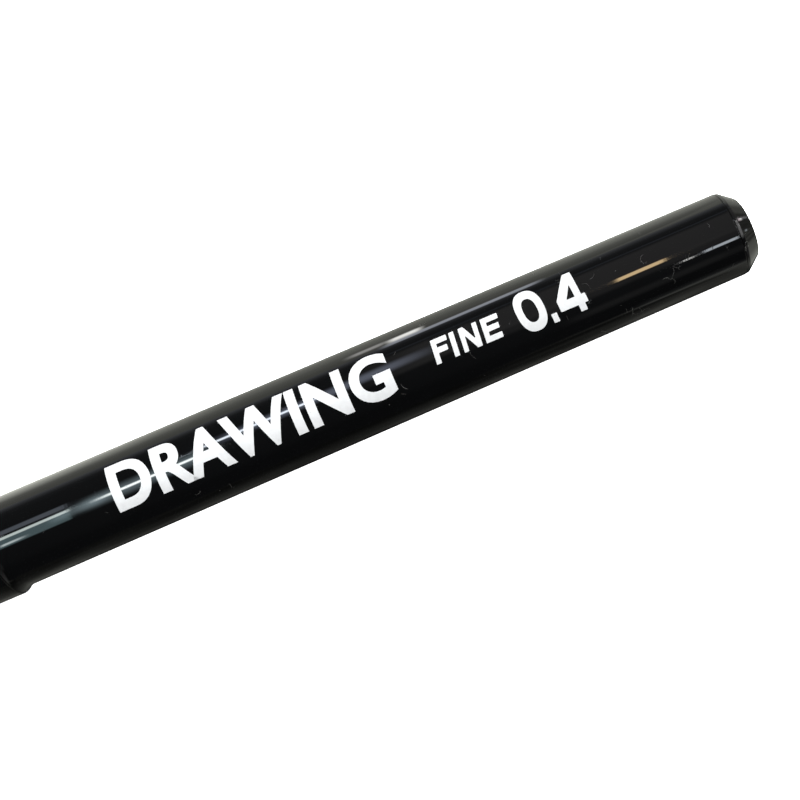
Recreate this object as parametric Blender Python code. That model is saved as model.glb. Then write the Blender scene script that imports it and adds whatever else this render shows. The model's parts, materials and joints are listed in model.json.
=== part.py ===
"""A capped fibre-tip drawing pen that lies along X.

The tail's flat end face is at the origin and the cap points to -X.
All sizes are in metres, +Z is up and the printed side of the barrel faces +Z.
"""
from math import asin, atan2, cos, hypot, pi, sin

import bmesh
import bpy
from mathutils import Matrix, Vector

MM = 0.001

# Facets round the turned pieces
SIDES = 48
FINE_SIDES = 24
HOLE_SIDES = 16
ARC_STEPS = 4
SMOOTH_ANGLE = 0.6

# Clearance left between two pieces that touch
FIT = 0.05 * MM

# Visible sizes of the barrel and tail
TAIL_LENGTH = 1.76 * MM
BARREL_LENGTH = 79.43 * MM
BARREL_TAIL_R = 4.27 * MM
BARREL_FRONT_R = 4.85 * MM
SHOULDER_R = 5.30 * MM
FLARE_LENGTH = 1.10 * MM
TAIL_LAND_LENGTH = 0.36 * MM
TAIL_LAND_R = 4.25 * MM
TAIL_EDGE_R = 4.20 * MM
TAIL_CHAMFER_R = 3.19 * MM
TAIL_FACE_R = 2.90 * MM
TAIL_FILLET_LENGTH = 0.15 * MM

# Cap and clip
OVERALL_LENGTH = 139.0 * MM
CAP_R = 5.38 * MM
CAP_END_R = 5.33 * MM
CAP_RIM_LENGTH = 0.25 * MM
CROWN_THICKNESS = 1.2 * MM
CROWN_EDGE = 0.7 * MM
CLIP_WIDTH = 4.2 * MM
CLIP_LENGTH = 38.0 * MM
CLIP_OUTER_R = 7.60 * MM
CLIP_THICKNESS = 1.15 * MM
CLIP_BOSS_LENGTH = 4.7 * MM
CLIP_PAD_GAP = 0.12 * MM
CLIP_PAD_LENGTH = 3.6 * MM
CLIP_DROOP = 0.35 * MM

# Stations along the axis
SEAM_X = -TAIL_LENGTH
SHOULDER_X = SEAM_X - BARREL_LENGTH
NECK_LENGTH = 8.0 * MM
NECK_END_X = SHOULDER_X - NECK_LENGTH
CAP_END_X = -OVERALL_LENGTH
SHELL_RIM_X = SHOULDER_X - FIT
SHELL_END_X = CAP_END_X + CROWN_THICKNESS + FIT

# Barrel bore and its press fits
NECK_R = 4.30 * MM
SNAP_HEIGHT = 0.12 * MM
SNAP_HALF = 0.5 * MM
CAP_SNAP_X = SHOULDER_X - 4.5 * MM
NECK_CHAMFER = 0.25 * MM
SECTION_BORE_R = 3.80 * MM
SECTION_STOP_X = SHOULDER_X + 0.9 * MM
SECTION_SNAP_X = SHOULDER_X - 2.5 * MM
PRESS_HEIGHT = 0.08 * MM
BORE_FRONT_R = 3.70 * MM
BORE_TAIL_R = 3.40 * MM
PLUG_BORE_R = 3.47 * MM
PLUG_STOP_X = SEAM_X - 5.6 * MM
PLUG_SNAP_X = SEAM_X - 3.2 * MM
PLUG_WALL = 0.8 * MM
PLUG_FLOOR_X = -1.2 * MM
RIB_COUNT = 4
RIB_INNER_R = 3.30 * MM
RIB_OUTER_R = 3.90 * MM
RIB_WIDTH = 0.5 * MM
RIB_END_GAP = 3.0 * MM

# Reservoir and feed
FILM_R = 3.25 * MM
FILM_WALL = 0.10 * MM
RESERVOIR_REAR_X = PLUG_STOP_X - 0.6 * MM
RESERVOIR_FRONT_X = SECTION_STOP_X + 0.7 * MM
WICK_R = 0.95 * MM
WICK_REAR_X = RESERVOIR_FRONT_X + 6.8 * MM
WICK_POINT = 1.0 * MM

# Nib section, sleeve and nib
COLLAR_R = NECK_R
COLLAR_LENGTH = 1.2 * MM
SECTION_REAR_R = 3.70 * MM
SECTION_FRONT_R = 3.40 * MM
SECTION_LENGTH = 9.0 * MM
SEAL_R = 3.05 * MM
SEAL_LENGTH = 3.0 * MM
CONE_REAR_R = 2.70 * MM
CONE_FRONT_R = 1.25 * MM
CONE_LENGTH = 5.75 * MM
SLEEVE_R = 0.75 * MM
SLEEVE_NOSE_R = 0.42 * MM
SLEEVE_NOSE_LENGTH = 1.3 * MM
SLEEVE_EXPOSED = 4.0 * MM
SLEEVE_HIDDEN = 4.65 * MM
NIB_R = 0.25 * MM
NIB_EXPOSED = 0.8 * MM

# Inner cap and crown
LINER_REAR_X = NECK_END_X - 1.8 * MM
LINER_FLANGE_LENGTH = 2.0 * MM
LINER_FLANGE_R = 4.45 * MM
LINER_BODY_R = 4.20 * MM
LINER_WALL = 0.75 * MM
LINER_NOSE_LENGTH = 14.0 * MM
LINER_NOSE_R = 1.4 * MM
LINER_FLOOR = 1.2 * MM
CAP_BORE_R = 4.50 * MM
CAP_INNER_R = 4.35 * MM
CROWN_SPIGOT_LENGTH = 6.3 * MM
CROWN_CUP_R = 3.6 * MM
CROWN_FLOOR_X = CAP_END_X + 1.4 * MM
VENT_COUNT = 3
VENT_R = 0.5 * MM
VENT_CIRCLE_R = 2.4 * MM

# The clip is rolled below -Y until its lower edge is level with the underside of the cap
CLIP_ROLL = asin(CAP_R / hypot(CLIP_OUTER_R, CLIP_WIDTH / 2)) - atan2(CLIP_WIDTH / 2, CLIP_OUTER_R)
CLIP_ROOT_X = SHELL_END_X + CLIP_BOSS_LENGTH + FIT


def clear_scene():
    for old in list(bpy.data.objects):
        bpy.data.objects.remove(old)


def plastic(name, colour, roughness):
    return material(name, colour, roughness, 0.0)


def material(name, colour, roughness, metallic):
    result = bpy.data.materials.new(name)
    result.use_nodes = True
    shader = result.node_tree.nodes["Principled BSDF"]
    shader.inputs["Base Color"].default_value = (*colour, 1.0)
    shader.inputs["Roughness"].default_value = roughness
    shader.inputs["Metallic"].default_value = metallic
    return result


def add_object(name, mesh_data, finish, origin=(0.0, 0.0, 0.0)):
    """Turn a bmesh in world coordinates into a named object with its own origin."""
    bmesh.ops.recalc_face_normals(mesh_data, faces=mesh_data.faces)
    bmesh.ops.translate(mesh_data, verts=mesh_data.verts, vec=-Vector(origin))
    mesh = bpy.data.meshes.new(name)
    mesh_data.to_mesh(mesh)
    mesh_data.free()
    if finish:
        mesh.materials.append(finish)
    mesh.shade_smooth()
    mesh.set_sharp_from_angle(angle=SMOOTH_ANGLE)
    result = bpy.data.objects.new(name, mesh)
    result.location = origin
    bpy.context.scene.collection.objects.link(result)
    return result


def add_tool(name, mesh_data):
    tool = add_object(name, mesh_data, None)
    tool.hide_render = True
    tool.display_type = "WIRE"
    return tool


def combine(target, tool, operation):
    modifier = target.modifiers.new(tool.name, "BOOLEAN")
    modifier.operation = operation
    modifier.object = tool


def turned(outline, sides=SIDES):
    """Spin an outline of (station, radius) points once round the X axis.

    An outline that starts and ends on the axis gives a solid piece, and any
    other outline is closed into a ring.
    """
    result = bmesh.new()
    points = [result.verts.new((x, 0.0, radius)) for x, radius in outline]
    edges = [result.edges.new(pair) for pair in zip(points, points[1:])]
    if outline[0][1] > 0.0:
        edges.append(result.edges.new((points[-1], points[0])))
    bmesh.ops.spin(
        result, geom=points + edges, cent=(0.0, 0.0, 0.0), axis=(1.0, 0.0, 0.0),
        angle=2 * pi, steps=sides, use_merge=True)
    bmesh.ops.remove_doubles(result, verts=result.verts, dist=0.001 * MM)
    return result


def extruded(outline, width, roll):
    """Extrude a side outline of (station, radius) points across a width, towards -Y rolled down."""
    result = bmesh.new()
    face = result.faces.new([result.verts.new((x, -radius, -width / 2)) for x, radius in outline])
    grown = bmesh.ops.extrude_face_region(result, geom=[face])
    moved = [item for item in grown["geom"] if isinstance(item, bmesh.types.BMVert)]
    bmesh.ops.translate(result, verts=moved, vec=(0.0, 0.0, width))
    bmesh.ops.rotate(result, verts=result.verts, matrix=Matrix.Rotation(roll, 3, "X"))
    return result


def block(low, high, roll=0.0):
    """A box between two corners, turned about the X axis."""
    result = bmesh.new()
    size = Vector(high) - Vector(low)
    centre = (Vector(high) + Vector(low)) / 2
    bmesh.ops.create_cube(result, size=1.0)
    bmesh.ops.scale(result, verts=result.verts, vec=size)
    bmesh.ops.translate(result, verts=result.verts, vec=centre)
    bmesh.ops.rotate(result, verts=result.verts, matrix=Matrix.Rotation(roll, 3, "X"))
    return result


def merged(pieces):
    """One bmesh that holds several separate ones."""
    result = bmesh.new()
    for piece in pieces:
        mesh = bpy.data.meshes.new("scratch")
        piece.to_mesh(mesh)
        piece.free()
        result.from_mesh(mesh)
        bpy.data.meshes.remove(mesh)
    return result


def bump(centre_x, base_r, height, half):
    """A low triangular ring, or a groove where the height is used on a bore."""
    return [(centre_x + half, base_r), (centre_x, base_r + height), (centre_x - half, base_r)]


def quarter_round(start, end):
    """Points from start to end along a quarter ellipse that leaves start radially."""
    (x0, r0), (x1, r1) = start, end
    points = []
    for step in range(ARC_STEPS + 1):
        angle = step / ARC_STEPS * pi / 2
        points.append((x0 + (x1 - x0) * (1 - cos(angle)), r0 + (r1 - r0) * sin(angle)))
    return points


def barrel_outline():
    outside = [(SEAM_X, BARREL_TAIL_R)]
    for step in range(ARC_STEPS + 1):
        t = step / ARC_STEPS
        radius = BARREL_FRONT_R + (SHOULDER_R - BARREL_FRONT_R) * t * t
        outside.append((SHOULDER_X + FLARE_LENGTH * (1 - t), radius))
    neck = [(SHOULDER_X, NECK_R)]
    neck += bump(CAP_SNAP_X, NECK_R, SNAP_HEIGHT, SNAP_HALF)
    neck += [(NECK_END_X + NECK_CHAMFER, NECK_R), (NECK_END_X, NECK_R - NECK_CHAMFER)]
    bore = [(NECK_END_X, SECTION_BORE_R)]
    bore += reversed(bump(SECTION_SNAP_X, SECTION_BORE_R, PRESS_HEIGHT, SNAP_HALF))
    bore += [(SECTION_STOP_X, SECTION_BORE_R), (SECTION_STOP_X, BORE_FRONT_R)]
    bore += [(PLUG_STOP_X, BORE_TAIL_R), (PLUG_STOP_X, PLUG_BORE_R)]
    bore += reversed(bump(PLUG_SNAP_X, PLUG_BORE_R, PRESS_HEIGHT, SNAP_HALF))
    bore += [(SEAM_X, PLUG_BORE_R)]
    return outside + neck + bore


def build_barrel(finish):
    """Barrel with a neck for the cap and four ribs that leave air channels past the reservoir."""
    barrel = add_object("barrel", turned(barrel_outline()), finish)
    ribs = []
    for index in range(RIB_COUNT):
        low = (SECTION_STOP_X + RIB_END_GAP, -RIB_WIDTH / 2, RIB_INNER_R)
        high = (PLUG_STOP_X - RIB_END_GAP, RIB_WIDTH / 2, RIB_OUTER_R)
        ribs.append(block(low, high, (index + 0.5) * 2 * pi / RIB_COUNT))
    combine(barrel, add_tool("barrel_ribs_tool", merged(ribs)), "UNION")
    return barrel


def build_tail_plug(finish):
    """Tail plug: visible land and chamfer, and a hollow spigot pressed into the barrel."""
    spigot_r = PLUG_BORE_R - FIT
    end_x = PLUG_STOP_X + FIT
    outline = [(0.0, 0.0), (0.0, TAIL_FACE_R), (-TAIL_FILLET_LENGTH, TAIL_CHAMFER_R)]
    outline += [(SEAM_X + TAIL_LAND_LENGTH, TAIL_EDGE_R), (SEAM_X + FIT, TAIL_LAND_R)]
    outline += [(SEAM_X + FIT, spigot_r)]
    outline += bump(PLUG_SNAP_X, spigot_r, PRESS_HEIGHT, SNAP_HALF)
    outline += [(end_x, spigot_r), (end_x, spigot_r - PLUG_WALL)]
    outline += [(PLUG_FLOOR_X, spigot_r - PLUG_WALL), (PLUG_FLOOR_X, 0.0)]
    return add_object("tail_plug", turned(outline), finish)


def build_reservoir(fibre_finish, film_finish):
    """Fibre rod with a pocket for the wick, wrapped in a thin open film tube."""
    fibre_r = FILM_R - FILM_WALL - FIT
    pocket_r = WICK_R + FIT
    pocket_x = WICK_REAR_X + FIT
    fibre = [(RESERVOIR_REAR_X, 0.0), (RESERVOIR_REAR_X, fibre_r), (RESERVOIR_FRONT_X, fibre_r)]
    fibre += [(RESERVOIR_FRONT_X, pocket_r), (pocket_x, pocket_r), (pocket_x, 0.0)]
    film = [(RESERVOIR_REAR_X, FILM_R), (RESERVOIR_FRONT_X, FILM_R)]
    film += [(RESERVOIR_FRONT_X, FILM_R - FILM_WALL), (RESERVOIR_REAR_X, FILM_R - FILM_WALL)]
    add_object("reservoir_fibre", turned(fibre), fibre_finish)
    add_object("reservoir_film", turned(film), film_finish)


def section_stations():
    collar_front_x = NECK_END_X - FIT - COLLAR_LENGTH
    body_front_x = collar_front_x - SECTION_LENGTH
    cone_rear_x = body_front_x - SEAL_LENGTH
    nose_x = cone_rear_x - CONE_LENGTH
    return collar_front_x, body_front_x, cone_rear_x, nose_x


def build_nib_section(finish):
    """Front holder: spigot in the neck, collar, sealing land and cone, bored for wick and sleeve."""
    collar_front_x, body_front_x, cone_rear_x, nose_x = section_stations()
    spigot_r = SECTION_BORE_R - FIT
    rear_x = SECTION_STOP_X - FIT
    collar_rear_x = NECK_END_X - FIT
    sleeve_rear_x = nose_x + SLEEVE_HIDDEN + FIT
    outline = [(rear_x, spigot_r)]
    outline += bump(SECTION_SNAP_X, spigot_r, PRESS_HEIGHT, SNAP_HALF)
    outline += [(collar_rear_x, spigot_r), (collar_rear_x, COLLAR_R), (collar_front_x, COLLAR_R)]
    outline += [(collar_front_x, SECTION_REAR_R), (body_front_x, SECTION_FRONT_R)]
    outline += [(body_front_x, SEAL_R), (cone_rear_x, SEAL_R), (cone_rear_x, CONE_REAR_R)]
    outline += [(nose_x, CONE_FRONT_R), (nose_x, SLEEVE_R + FIT)]
    outline += [(sleeve_rear_x, SLEEVE_R + FIT), (sleeve_rear_x, WICK_R + FIT)]
    outline += [(rear_x, WICK_R + FIT)]
    return add_object("nib_section", turned(outline), finish)


def build_nib(sleeve_finish, nib_finish, wick_finish):
    """Metal sleeve, the fibre nib inside it, and the wick that feeds the nib."""
    nose_x = section_stations()[-1]
    sleeve_rear_x = nose_x + SLEEVE_HIDDEN
    mouth_x = nose_x - SLEEVE_EXPOSED
    sleeve = [(sleeve_rear_x, SLEEVE_R), (mouth_x + SLEEVE_NOSE_LENGTH, SLEEVE_R)]
    sleeve += [(mouth_x, SLEEVE_NOSE_R), (mouth_x, NIB_R + FIT), (sleeve_rear_x, NIB_R + FIT)]
    add_object("tip_sleeve", turned(sleeve, FINE_SIDES), sleeve_finish)

    tip_x = mouth_x - NIB_EXPOSED
    nib = [(sleeve_rear_x, 0.0), (sleeve_rear_x, NIB_R)]
    for step in range(ARC_STEPS + 1):
        angle = step / ARC_STEPS * pi / 2
        nib.append((tip_x + NIB_R * (1 - sin(angle)), NIB_R * cos(angle)))
    nib[-1] = (tip_x, 0.0)
    add_object("nib", turned(nib, HOLE_SIDES), nib_finish)

    wick_front_x = sleeve_rear_x + 2 * FIT
    wick = [(wick_front_x, 0.0), (wick_front_x, WICK_R), (WICK_REAR_X - WICK_POINT, WICK_R)]
    wick += [(WICK_REAR_X, WICK_R / 2), (WICK_REAR_X, 0.0)]
    add_object("feed_wick", turned(wick, FINE_SIDES), wick_finish)


def build_cap_shell(finish):
    """Tubular cap with a rounded rim and the solid root that the clip springs from."""
    outline = quarter_round((SHELL_RIM_X, SHOULDER_R), (SHELL_RIM_X - CAP_RIM_LENGTH, CAP_R))
    outline += [(SHELL_END_X, CAP_END_R), (SHELL_END_X, CAP_BORE_R)]
    crown_stop_x = CAP_END_X + CROWN_THICKNESS + CROWN_SPIGOT_LENGTH + 2 * FIT
    liner_stop_x = LINER_REAR_X - LINER_FLANGE_LENGTH - FIT
    outline += [(crown_stop_x, CAP_BORE_R), (crown_stop_x, CAP_INNER_R)]
    outline += [(liner_stop_x, CAP_INNER_R), (liner_stop_x, CAP_BORE_R)]
    outline += reversed(bump(CAP_SNAP_X, CAP_BORE_R, SNAP_HEIGHT, SNAP_HALF))
    outline += [(SHELL_RIM_X, CAP_BORE_R)]
    shell = add_object("cap_shell", turned(outline), finish, (SHELL_RIM_X, 0.0, 0.0))

    boss_front_x = SHELL_END_X + CLIP_BOSS_LENGTH
    boss_base_r = (CAP_END_R + CAP_BORE_R) / 2
    boss = [(SHELL_END_X, boss_base_r), (boss_front_x, boss_base_r)]
    boss += [(boss_front_x, CLIP_OUTER_R), (SHELL_END_X + CROWN_EDGE, CLIP_OUTER_R)]
    boss += [(SHELL_END_X, CLIP_OUTER_R - CROWN_EDGE)]
    combine(shell, add_tool("clip_root_tool", extruded(boss, CLIP_WIDTH, CLIP_ROLL)), "UNION")
    return shell


def build_cap_liner(finish):
    """Inner cap: a closed cup that seals on the land of the nib section."""
    _, body_front_x, cone_rear_x, _ = section_stations()
    flange_front_x = LINER_REAR_X - LINER_FLANGE_LENGTH
    seal_rear_x = body_front_x - 2 * FIT
    floor_x = cone_rear_x - LINER_NOSE_LENGTH
    end_x = floor_x - LINER_FLOOR
    seal_r = SEAL_R + FIT
    inside = [(floor_x, 0.0), (floor_x, LINER_NOSE_R), (cone_rear_x, seal_r)]
    inside += [(seal_rear_x, seal_r), (seal_rear_x, SECTION_FRONT_R + 2 * FIT)]
    inside += [(LINER_REAR_X, SECTION_REAR_R + 2 * FIT)]
    outside = [(LINER_REAR_X, LINER_FLANGE_R), (flange_front_x, LINER_FLANGE_R)]
    outside += [(flange_front_x, LINER_BODY_R), (cone_rear_x, seal_r + LINER_WALL)]
    outside += [(end_x, LINER_NOSE_R + LINER_WALL), (end_x, 0.0)]
    return add_object("cap_liner", turned(inside + outside), finish, (LINER_REAR_X, 0.0, 0.0))


def build_cap_crown(finish):
    """End plug of the cap with a rounded edge, a hollow spigot and vents through its floor."""
    spigot_r = CAP_BORE_R - FIT
    flange_x = CAP_END_X + CROWN_THICKNESS
    spigot_x = flange_x + CROWN_SPIGOT_LENGTH
    face_r = CAP_END_R - CROWN_EDGE
    outline = [(CAP_END_X, 0.0)]
    for step in range(ARC_STEPS + 1):
        angle = step / ARC_STEPS * pi / 2
        outline.append((CAP_END_X + CROWN_EDGE * (1 - cos(angle)), face_r + CROWN_EDGE * sin(angle)))
    outline += [(flange_x, CAP_END_R), (flange_x, spigot_r), (spigot_x, spigot_r)]
    outline += [(spigot_x, CROWN_CUP_R), (CROWN_FLOOR_X, CROWN_CUP_R), (CROWN_FLOOR_X, 0.0)]
    crown = add_object("cap_crown", turned(outline), finish, (CAP_END_X, 0.0, 0.0))

    vents = []
    for index in range(VENT_COUNT):
        angle = (index + 0.5) * 2 * pi / VENT_COUNT
        vent = turned([(CAP_END_X - MM, 0.0), (CAP_END_X - MM, VENT_R),
                       (CROWN_FLOOR_X + MM, VENT_R), (CROWN_FLOOR_X + MM, 0.0)], HOLE_SIDES)
        offset = (0.0, VENT_CIRCLE_R * cos(angle), VENT_CIRCLE_R * sin(angle))
        bmesh.ops.translate(vent, verts=vent.verts, vec=offset)
        bmesh.ops.recalc_face_normals(vent, faces=vent.faces)
        vents.append(vent)
    combine(crown, add_tool("vent_tool", merged(vents)), "DIFFERENCE")
    return crown


def clip_pivot():
    """Point on the clip's hinge axis: the outer edge of the arm's root."""
    return (CLIP_ROOT_X, -CLIP_OUTER_R * cos(CLIP_ROLL), -CLIP_OUTER_R * sin(CLIP_ROLL))


def build_clip(finish):
    """Clip arm with an inward pad near its free end, hung from an empty on the flexing axis."""
    end_x = CLIP_ROOT_X + CLIP_LENGTH
    pad_x = end_x - CLIP_PAD_LENGTH
    end_r = CLIP_OUTER_R - CLIP_DROOP
    pad_r = CAP_R + CLIP_PAD_GAP
    outline = [(CLIP_ROOT_X, CLIP_OUTER_R), (end_x - CLIP_THICKNESS, end_r)]
    outline += [(end_x, end_r - CLIP_THICKNESS), (end_x - CLIP_THICKNESS / 2, pad_r)]
    outline += [(pad_x + CLIP_THICKNESS, pad_r), (pad_x, end_r - CLIP_THICKNESS)]
    outline += [(CLIP_ROOT_X, CLIP_OUTER_R - CLIP_THICKNESS)]
    clip = add_object("clip", extruded(outline, CLIP_WIDTH, CLIP_ROLL), finish)

    hinge = bpy.data.objects.new("clip_hinge", None)
    hinge.location = clip_pivot()
    bpy.context.scene.collection.objects.link(hinge)
    clip.parent = hinge
    clip.matrix_parent_inverse = Matrix.Translation(hinge.location).inverted()
    return clip


def build_pen():
    gloss_black = plastic("barrel_plastic", (0.006, 0.006, 0.007), 0.12)
    cap_black = plastic("cap_plastic", (0.006, 0.006, 0.007), 0.15)
    inner_plastic = plastic("inner_plastic", (0.35, 0.35, 0.34), 0.4)
    fibre = plastic("fibre", (0.02, 0.02, 0.025), 0.9)
    film = plastic("film", (0.6, 0.6, 0.58), 0.3)
    steel = material("sleeve_steel", (0.62, 0.61, 0.59), 0.25, 1.0)
    build_barrel(gloss_black)
    build_tail_plug(gloss_black)
    build_reservoir(fibre, film)
    build_nib_section(gloss_black)
    build_nib(steel, fibre, fibre)
    build_cap_shell(cap_black)
    build_cap_liner(inner_plastic)
    build_cap_crown(cap_black)
    build_clip(cap_black)


clear_scene()
build_pen()
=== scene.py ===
"""Looks of the capped drawing pen: fine mouldings, bent printing, finishes and the studio.

Outlines are in millimetres. The pen lies along X with its tail face at the origin, a
station is a place along X, and an angle round the barrel is 0 at +Z and positive to +Y.
"""

import json
from math import atan2, cos, hypot, pi, radians, sin, tan

import bmesh
import bpy
from mathutils import Matrix, Vector


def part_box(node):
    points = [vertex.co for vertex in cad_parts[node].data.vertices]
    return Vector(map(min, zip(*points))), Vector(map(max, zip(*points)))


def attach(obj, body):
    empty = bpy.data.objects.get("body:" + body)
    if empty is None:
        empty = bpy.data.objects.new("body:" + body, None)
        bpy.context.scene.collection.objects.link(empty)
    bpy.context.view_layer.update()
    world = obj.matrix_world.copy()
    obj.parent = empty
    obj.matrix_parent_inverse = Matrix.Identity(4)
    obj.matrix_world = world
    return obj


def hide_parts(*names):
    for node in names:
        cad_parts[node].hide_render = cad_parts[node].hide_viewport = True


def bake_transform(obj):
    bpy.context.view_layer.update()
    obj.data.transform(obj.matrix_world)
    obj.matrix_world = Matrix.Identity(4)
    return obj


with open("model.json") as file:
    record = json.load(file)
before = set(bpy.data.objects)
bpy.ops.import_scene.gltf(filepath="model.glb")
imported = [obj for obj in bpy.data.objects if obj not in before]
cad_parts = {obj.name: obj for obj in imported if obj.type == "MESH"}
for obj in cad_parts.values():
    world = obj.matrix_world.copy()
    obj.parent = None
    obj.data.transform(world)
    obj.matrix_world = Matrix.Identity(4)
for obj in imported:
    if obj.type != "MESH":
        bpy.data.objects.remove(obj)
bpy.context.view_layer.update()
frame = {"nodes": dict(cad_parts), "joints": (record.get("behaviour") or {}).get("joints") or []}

MM = 0.001
SIDES = 160
FINE_SIDES = 64
ARC_STEPS = 6
SMOOTH_ANGLE = 0.7

# ---------------------------------------------------------------- sizes from the frame


def box_mm(node):
    """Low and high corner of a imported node, in millimetres."""
    low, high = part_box(node)
    return low / MM, high / MM


BARREL_LOW, BARREL_HIGH = box_mm("barrel")
PLUG_LOW = box_mm("tail_plug")[0]
SECTION_LOW, SECTION_HIGH = box_mm("nib_section")
SLEEVE_LOW, SLEEVE_HIGH = box_mm("tip_sleeve")
NIB_LOW, NIB_HIGH = box_mm("nib")
SHELL_LOW, SHELL_HIGH = box_mm("cap_shell")
LINER_LOW, LINER_HIGH = box_mm("cap_liner")
CROWN_LOW, CROWN_HIGH = box_mm("cap_crown")
CLIP_HIGH = box_mm("clip")[1]

FIT = 0.05
SEAM_X = BARREL_HIGH.x
NECK_END_X = BARREL_LOW.x
SHOULDER_X = SHELL_HIGH.x + FIT
TAIL_R = 4.27
FRONT_R = 4.85
SHOULDER_R = BARREL_HIGH.z
CAP_R = SHELL_HIGH.z
NECK_R = SECTION_HIGH.z
CAP_BORE_R = LINER_HIGH.z + FIT
FLARE_LENGTH = 1.10

CLIP_JOINT = next(joint for joint in frame["joints"] if joint["name"] == "clip_flex")
CLIP_ROLL = atan2(CLIP_JOINT["axis"][1], -CLIP_JOINT["axis"][2])
CLIP_PIVOT = Vector(CLIP_JOINT["pos_m"]) / MM
CLIP_OUTER_R = hypot(CLIP_PIVOT.y, CLIP_PIVOT.z)

BARREL_SLOPE = (FRONT_R - TAIL_R) / (SEAM_X - SHOULDER_X - FLARE_LENGTH)
CHAMFER_X = -1.40
CHAMFER_R = 4.20
CHAMFER_SLOPE = 0.807
SNAP_X = SHOULDER_X - 4.5
COLLAR_FRONT_X = NECK_END_X - FIT - 1.2
BODY_FRONT_X = COLLAR_FRONT_X - 9.0
CONE_REAR_X = BODY_FRONT_X - 3.0
LINER_FLANGE_X = LINER_HIGH.x - 2.0


def barrel_radius(x):
    """Outer radius of the barrel's straight taper at a station."""
    return TAIL_R + BARREL_SLOPE * (SEAM_X - x)


def chamfer_radius(x):
    """Radius of the tail chamfer at a station."""
    return CHAMFER_R - CHAMFER_SLOPE * (x - CHAMFER_X)


# ---------------------------------------------------------------- mesh helpers


def rounded(corners, closed=True):
    """Outline through (x, radius, fillet) corners, with an arc at every corner that has a fillet."""
    outline = []
    count = len(corners)
    for index, (x, r, fillet) in enumerate(corners):
        here = Vector((x, r))
        inner = closed or 0 < index < count - 1
        if not (fillet and inner):
            outline.append(here)
            continue
        before = Vector(corners[index - 1][:2]) - here
        after = Vector(corners[(index + 1) % count][:2]) - here
        half = before.angle(after) / 2
        reach = min(fillet / tan(half), 0.48 * before.length, 0.48 * after.length)
        radius = reach * tan(half)
        to_centre = (before.normalized() + after.normalized()).normalized()
        centre = here + to_centre * hypot(reach, radius)
        start = here + before.normalized() * reach - centre
        end = here + after.normalized() * reach - centre
        sweep = start.angle_signed(end)
        lead = min(0.5 * reach, 0.3 * before.length)
        outline.append(here + before.normalized() * (reach + lead))
        for step in range(ARC_STEPS + 1):
            turn = Matrix.Rotation(-sweep * step / ARC_STEPS, 2)
            outline.append(centre + turn @ start)
        lead = min(0.5 * reach, 0.3 * after.length)
        outline.append(here + after.normalized() * (reach + lead))
    return outline


def ring(centre_x, base_r, height, half):
    """Corners of a soft raised ring, or a groove where the height is negative."""
    corners = []
    steps = 10
    for step in range(steps + 1):
        t = step / steps
        rise = height * (0.5 - 0.5 * cos(2 * pi * t))
        corners.append((centre_x + half * (1 - 2 * t), base_r + rise, 0.0))
    return corners


def elliptic(start, end, steps=10):
    """Corners along a quarter ellipse that leaves start radially and meets end along X."""
    corners = []
    for step in range(steps + 1):
        angle = step / steps * pi / 2
        x = start[0] + (end[0] - start[0]) * (1 - cos(angle))
        corners.append((x, start[1] + (end[1] - start[1]) * sin(angle), 0.0))
    return corners


def finish_mesh(name, mesh_data, body, finish, replaced=()):
    """Turn a bmesh in metres into a shaded piece that rides on a body."""
    bmesh.ops.recalc_face_normals(mesh_data, faces=mesh_data.faces)
    mesh = bpy.data.meshes.new(name)
    mesh_data.to_mesh(mesh)
    mesh_data.free()
    mesh.materials.append(finish)
    mesh.shade_smooth()
    mesh.set_sharp_from_angle(angle=SMOOTH_ANGLE)
    piece = bpy.data.objects.new(name, mesh)
    bpy.context.scene.collection.objects.link(piece)
    if body:
        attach(piece, body)
    if replaced:
        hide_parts(*replaced)
    return piece


def turned(outline, sides=SIDES):
    """Revolve an outline in millimetres round X: a solid if it starts on the axis, or else a ring."""
    result = bmesh.new()
    solid = outline[0][1] < 1e-6
    rings = []
    for x, r in outline:
        if r < 1e-6:
            rings.append([result.verts.new((x * MM, 0.0, 0.0))] * sides)
            continue
        turn = [2 * pi * side / sides for side in range(sides)]
        rings.append([result.verts.new((x * MM, r * sin(a) * MM, r * cos(a) * MM)) for a in turn])
    pairs = list(zip(rings, rings[1:]))
    if not solid:
        pairs.append((rings[-1], rings[0]))
    for first, second in pairs:
        for side in range(sides):
            after = (side + 1) % sides
            corners = [first[side], first[after], second[after], second[side]]
            corners = list(dict.fromkeys(corners))
            if len(corners) > 2:
                result.faces.new(corners)
    return result


def carved(mesh_data, cutters):
    """The bmesh with the cutter bmeshes taken away from it."""
    target = bpy.data.objects.new("carving", bpy.data.meshes.new("carving"))
    bmesh.ops.recalc_face_normals(mesh_data, faces=mesh_data.faces)
    mesh_data.to_mesh(target.data)
    mesh_data.free()
    bpy.context.scene.collection.objects.link(target)
    tools = []
    for cutter in cutters:
        tool = bpy.data.objects.new("cutter", bpy.data.meshes.new("cutter"))
        bmesh.ops.recalc_face_normals(cutter, faces=cutter.faces)
        cutter.to_mesh(tool.data)
        cutter.free()
        bpy.context.scene.collection.objects.link(tool)
        modifier = target.modifiers.new("cut", "BOOLEAN")
        modifier.operation = "DIFFERENCE"
        modifier.object = tool
        tools.append(tool)
    evaluated = target.evaluated_get(bpy.context.evaluated_depsgraph_get())
    result = bmesh.new()
    result.from_mesh(evaluated.to_mesh())
    for thing in [target] + tools:
        bpy.data.objects.remove(thing)
    return result


# ---------------------------------------------------------------- node helpers


def add(tree, kind, inputs=None, **settings):
    """Add a shader node; an input may be a value or another node's output socket."""
    made = tree.nodes.new("ShaderNode" + kind)
    for key, value in settings.items():
        setattr(made, key, value)
    for key, value in (inputs or {}).items():
        if isinstance(value, bpy.types.NodeSocket):
            tree.links.new(value, made.inputs[key])
        else:
            made.inputs[key].default_value = value
    return made


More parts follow.
